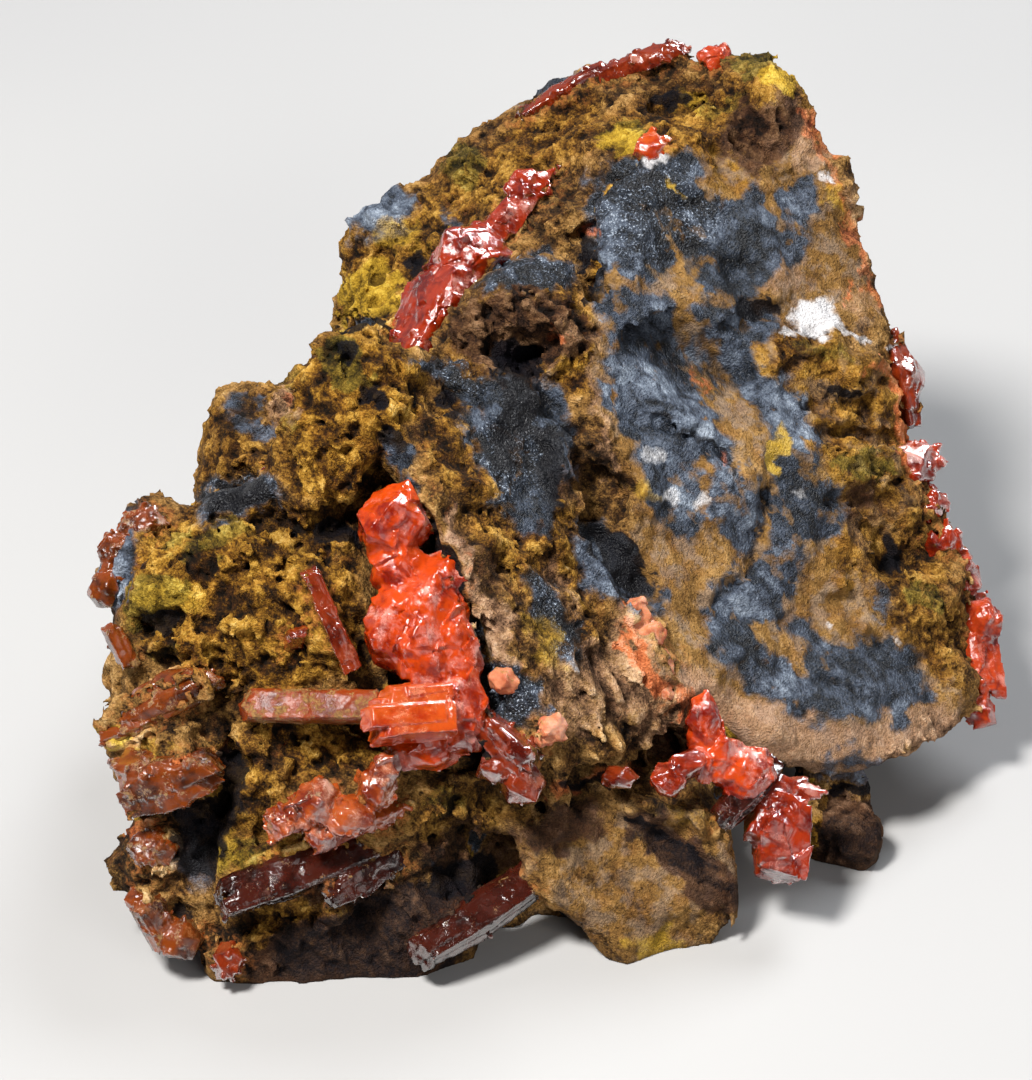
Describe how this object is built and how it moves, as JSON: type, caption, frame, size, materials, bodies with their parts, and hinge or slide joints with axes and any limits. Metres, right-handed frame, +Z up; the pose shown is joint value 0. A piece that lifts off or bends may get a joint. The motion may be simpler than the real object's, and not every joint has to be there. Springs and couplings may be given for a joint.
{
  "type": "crocoite crystals on gossan matrix",
  "caption": "Hand specimen of glassy orange-red crocoite crystals grown in a lump of rusty, spongy gossan with blue-grey manganese oxide.",
  "frame": {"origin": "on the flat surface that the specimen rests on, under the middle of the rock", "axes": "+Z up from the resting surface; the long sloping face of the rock looks towards -Y"},
  "size_m": [0.0459, 0.0474, 0.0297],
  "materials": {
    "gossan": "rough, earthy, with blue-grey manganese oxide",
    "crocoite": "glassy to adamantine, translucent orange-red"
  },
  "bodies": {
    "root": {"back_blade": "crocoite", "chip": "crocoite", "cleft_crust": "crocoite", "front_vein": "crocoite", "gap_bead": "crocoite", "gap_sliver": "crocoite", "knob_foot_grain": "crocoite", "left_diagonal": "crocoite", "left_edge_lower": "crocoite", "left_edge_upper": "crocoite", "left_foot_grain": "crocoite", "left_lower_block": "crocoite", "left_top_grains": "crocoite", "left_upright": "crocoite", "lower_prism": "crocoite", "lower_right_prism": "crocoite", "matrix": "gossan", "ridge_bead": "crocoite", "ridge_grain": "crocoite", "right_foot": "crocoite", "rim_blade": "crocoite", "rim_lower": "crocoite", "rim_upper": "crocoite", "shelf_druse": "crocoite", "slab_top_grain": "crocoite", "slender_prism": "crocoite", "top_grain": "crocoite", "top_strip": "crocoite", "upper_left_blade": "crocoite"}
  },
  "joints": []
}
